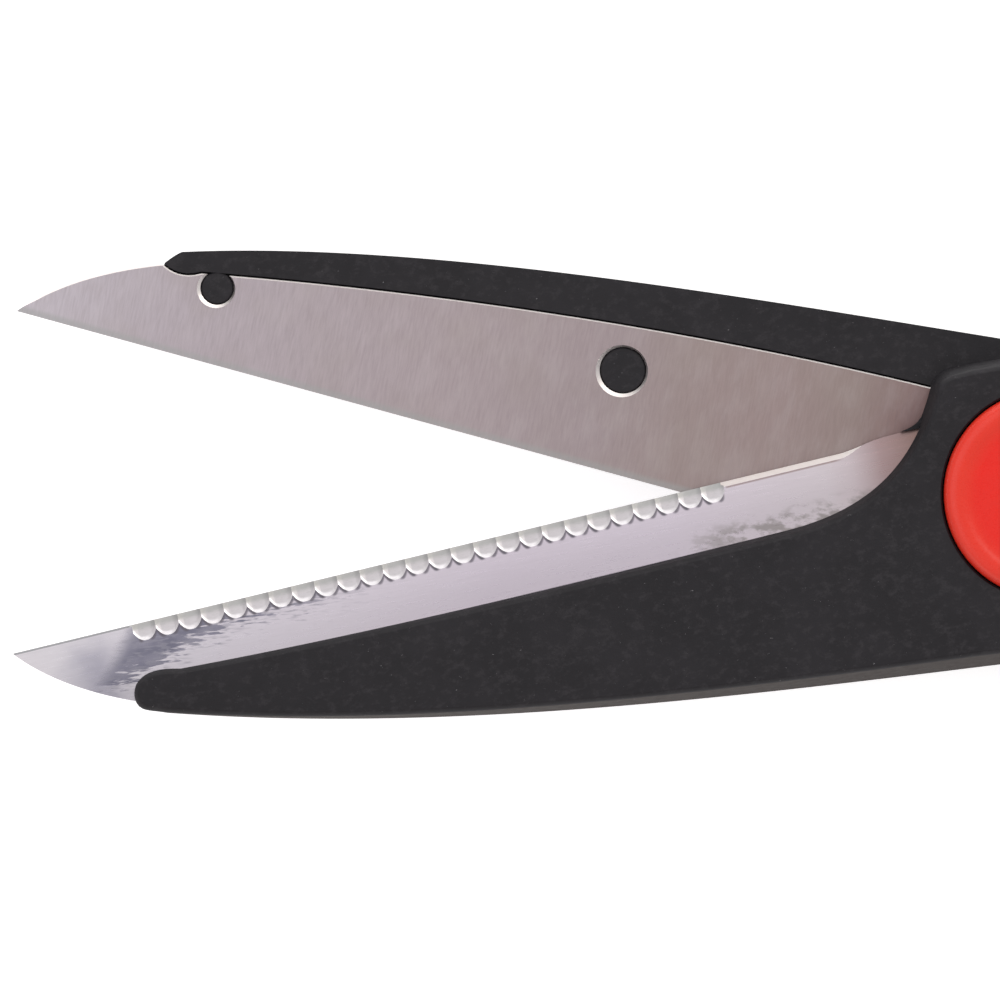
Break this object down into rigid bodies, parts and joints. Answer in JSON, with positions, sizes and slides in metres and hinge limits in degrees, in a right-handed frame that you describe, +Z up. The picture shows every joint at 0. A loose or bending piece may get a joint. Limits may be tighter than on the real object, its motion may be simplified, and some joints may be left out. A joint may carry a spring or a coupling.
{
  "type": "household shears",
  "caption": "Household shears lying open: a scallop-edge blade and a straight blade, each set in a black moulded arm with a handle loop, turning on a pivot under round red caps.",
  "frame": {"origin": "on the pivot axis, on the flat top of the rear cap, which rests on the table", "axes": "+Z up along the pivot axis out of the front cap, -X towards the tips along the middle of the jaw, +X towards the handles, +Y towards the thumb loop"},
  "size_m": [0.1974, 0.1016, 0.012],
  "materials": {
    "polished_steel": "ground and polished",
    "brushed_steel": "cross-ground satin",
    "black_moulding": "fine matt",
    "red_soft_grip": "satin",
    "black_rubber": "matt",
    "red_cap": "gloss",
    "pivot_steel": "turned and plated",
    "nylon": "natural"
  },
  "bodies": {
    "rear_arm": {"rear_blade": "brushed_steel", "rear_shell": "black_moulding", "finger_liner": "red_soft_grip", "rear_inlay": "red_soft_grip", "rear_stop_pad": "black_rubber", "rear_cap": "red_cap", "thrust_washer": "nylon", "nylon_washer": "nylon", "rear_washer": "pivot_steel", "wave_washer": "pivot_steel"},
    "front_arm": {"front_blade": "polished_steel", "front_shell": "black_moulding", "thumb_liner": "red_soft_grip", "front_inlay": "red_soft_grip", "front_stop_pad": "black_rubber", "front_cap": "red_cap", "pivot_screw": "pivot_steel", "pivot_nut": "pivot_steel", "pivot_bush": "nylon", "front_washer": "pivot_steel"}
  },
  "joints": [
    {"name": "pivot", "type": "hinge", "parent": "rear_arm", "child": "front_arm", "pos_m": [0, 0, 0], "axis": [0, 0, 1], "range_deg": [-18.7, 36]}
  ]
}
